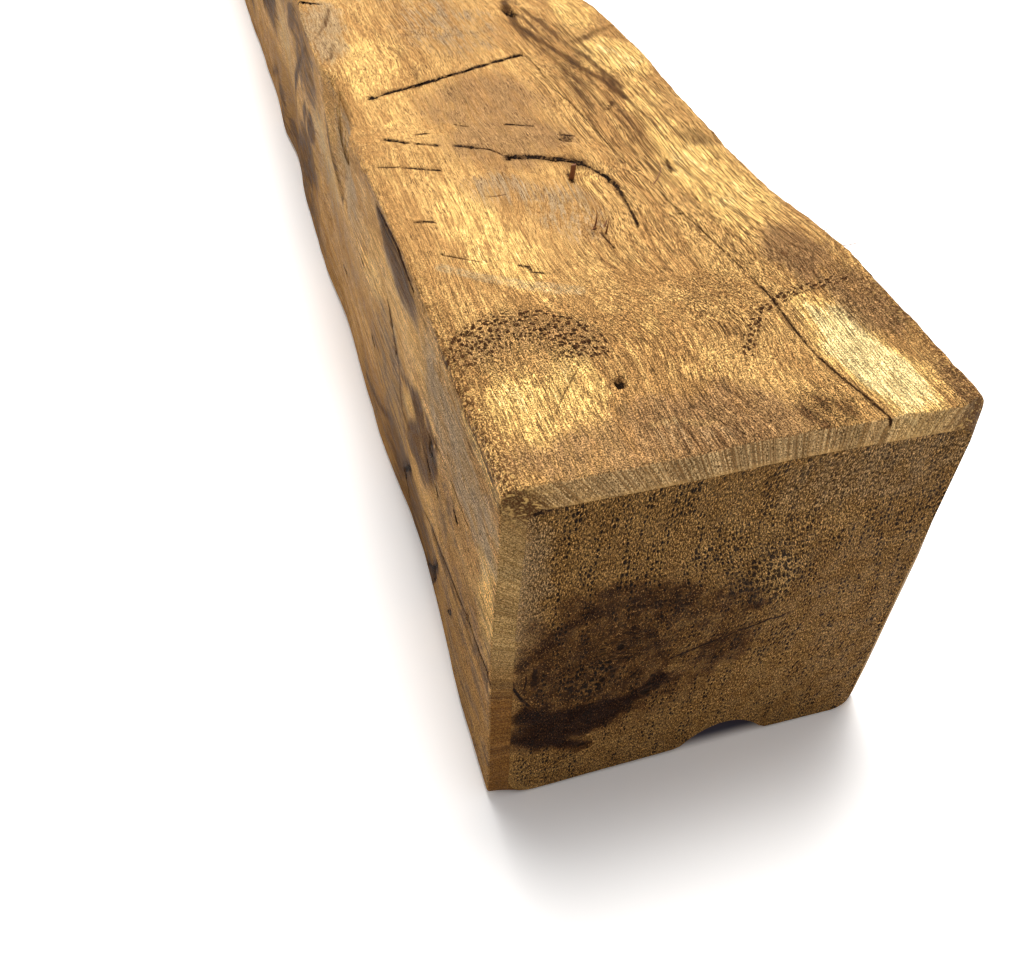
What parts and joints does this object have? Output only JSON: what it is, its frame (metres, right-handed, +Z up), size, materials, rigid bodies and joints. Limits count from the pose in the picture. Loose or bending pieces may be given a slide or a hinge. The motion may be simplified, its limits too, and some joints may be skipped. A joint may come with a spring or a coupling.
{
  "type": "hewn beam mantel",
  "caption": "Square-hewn barn timber cut to length as a fireplace mantel shelf, with axe marks, drying checks, a flat back and eased sawn ends.",
  "frame": {"origin": "Middle of the flat underside, on the surface that the beam lies on.", "axes": "+X along the beam to the near sawn end, -Y to the hewn front face, +Y to the flat back face, +Z up."},
  "size_m": [1.524, 0.1937, 0.1982],
  "materials": {
    "honey_wood": "satin, oiled, hewn and wire-brushed"
  },
  "bodies": {
    "root": {"hewn_beam": "honey_wood"}
  },
  "joints": []
}
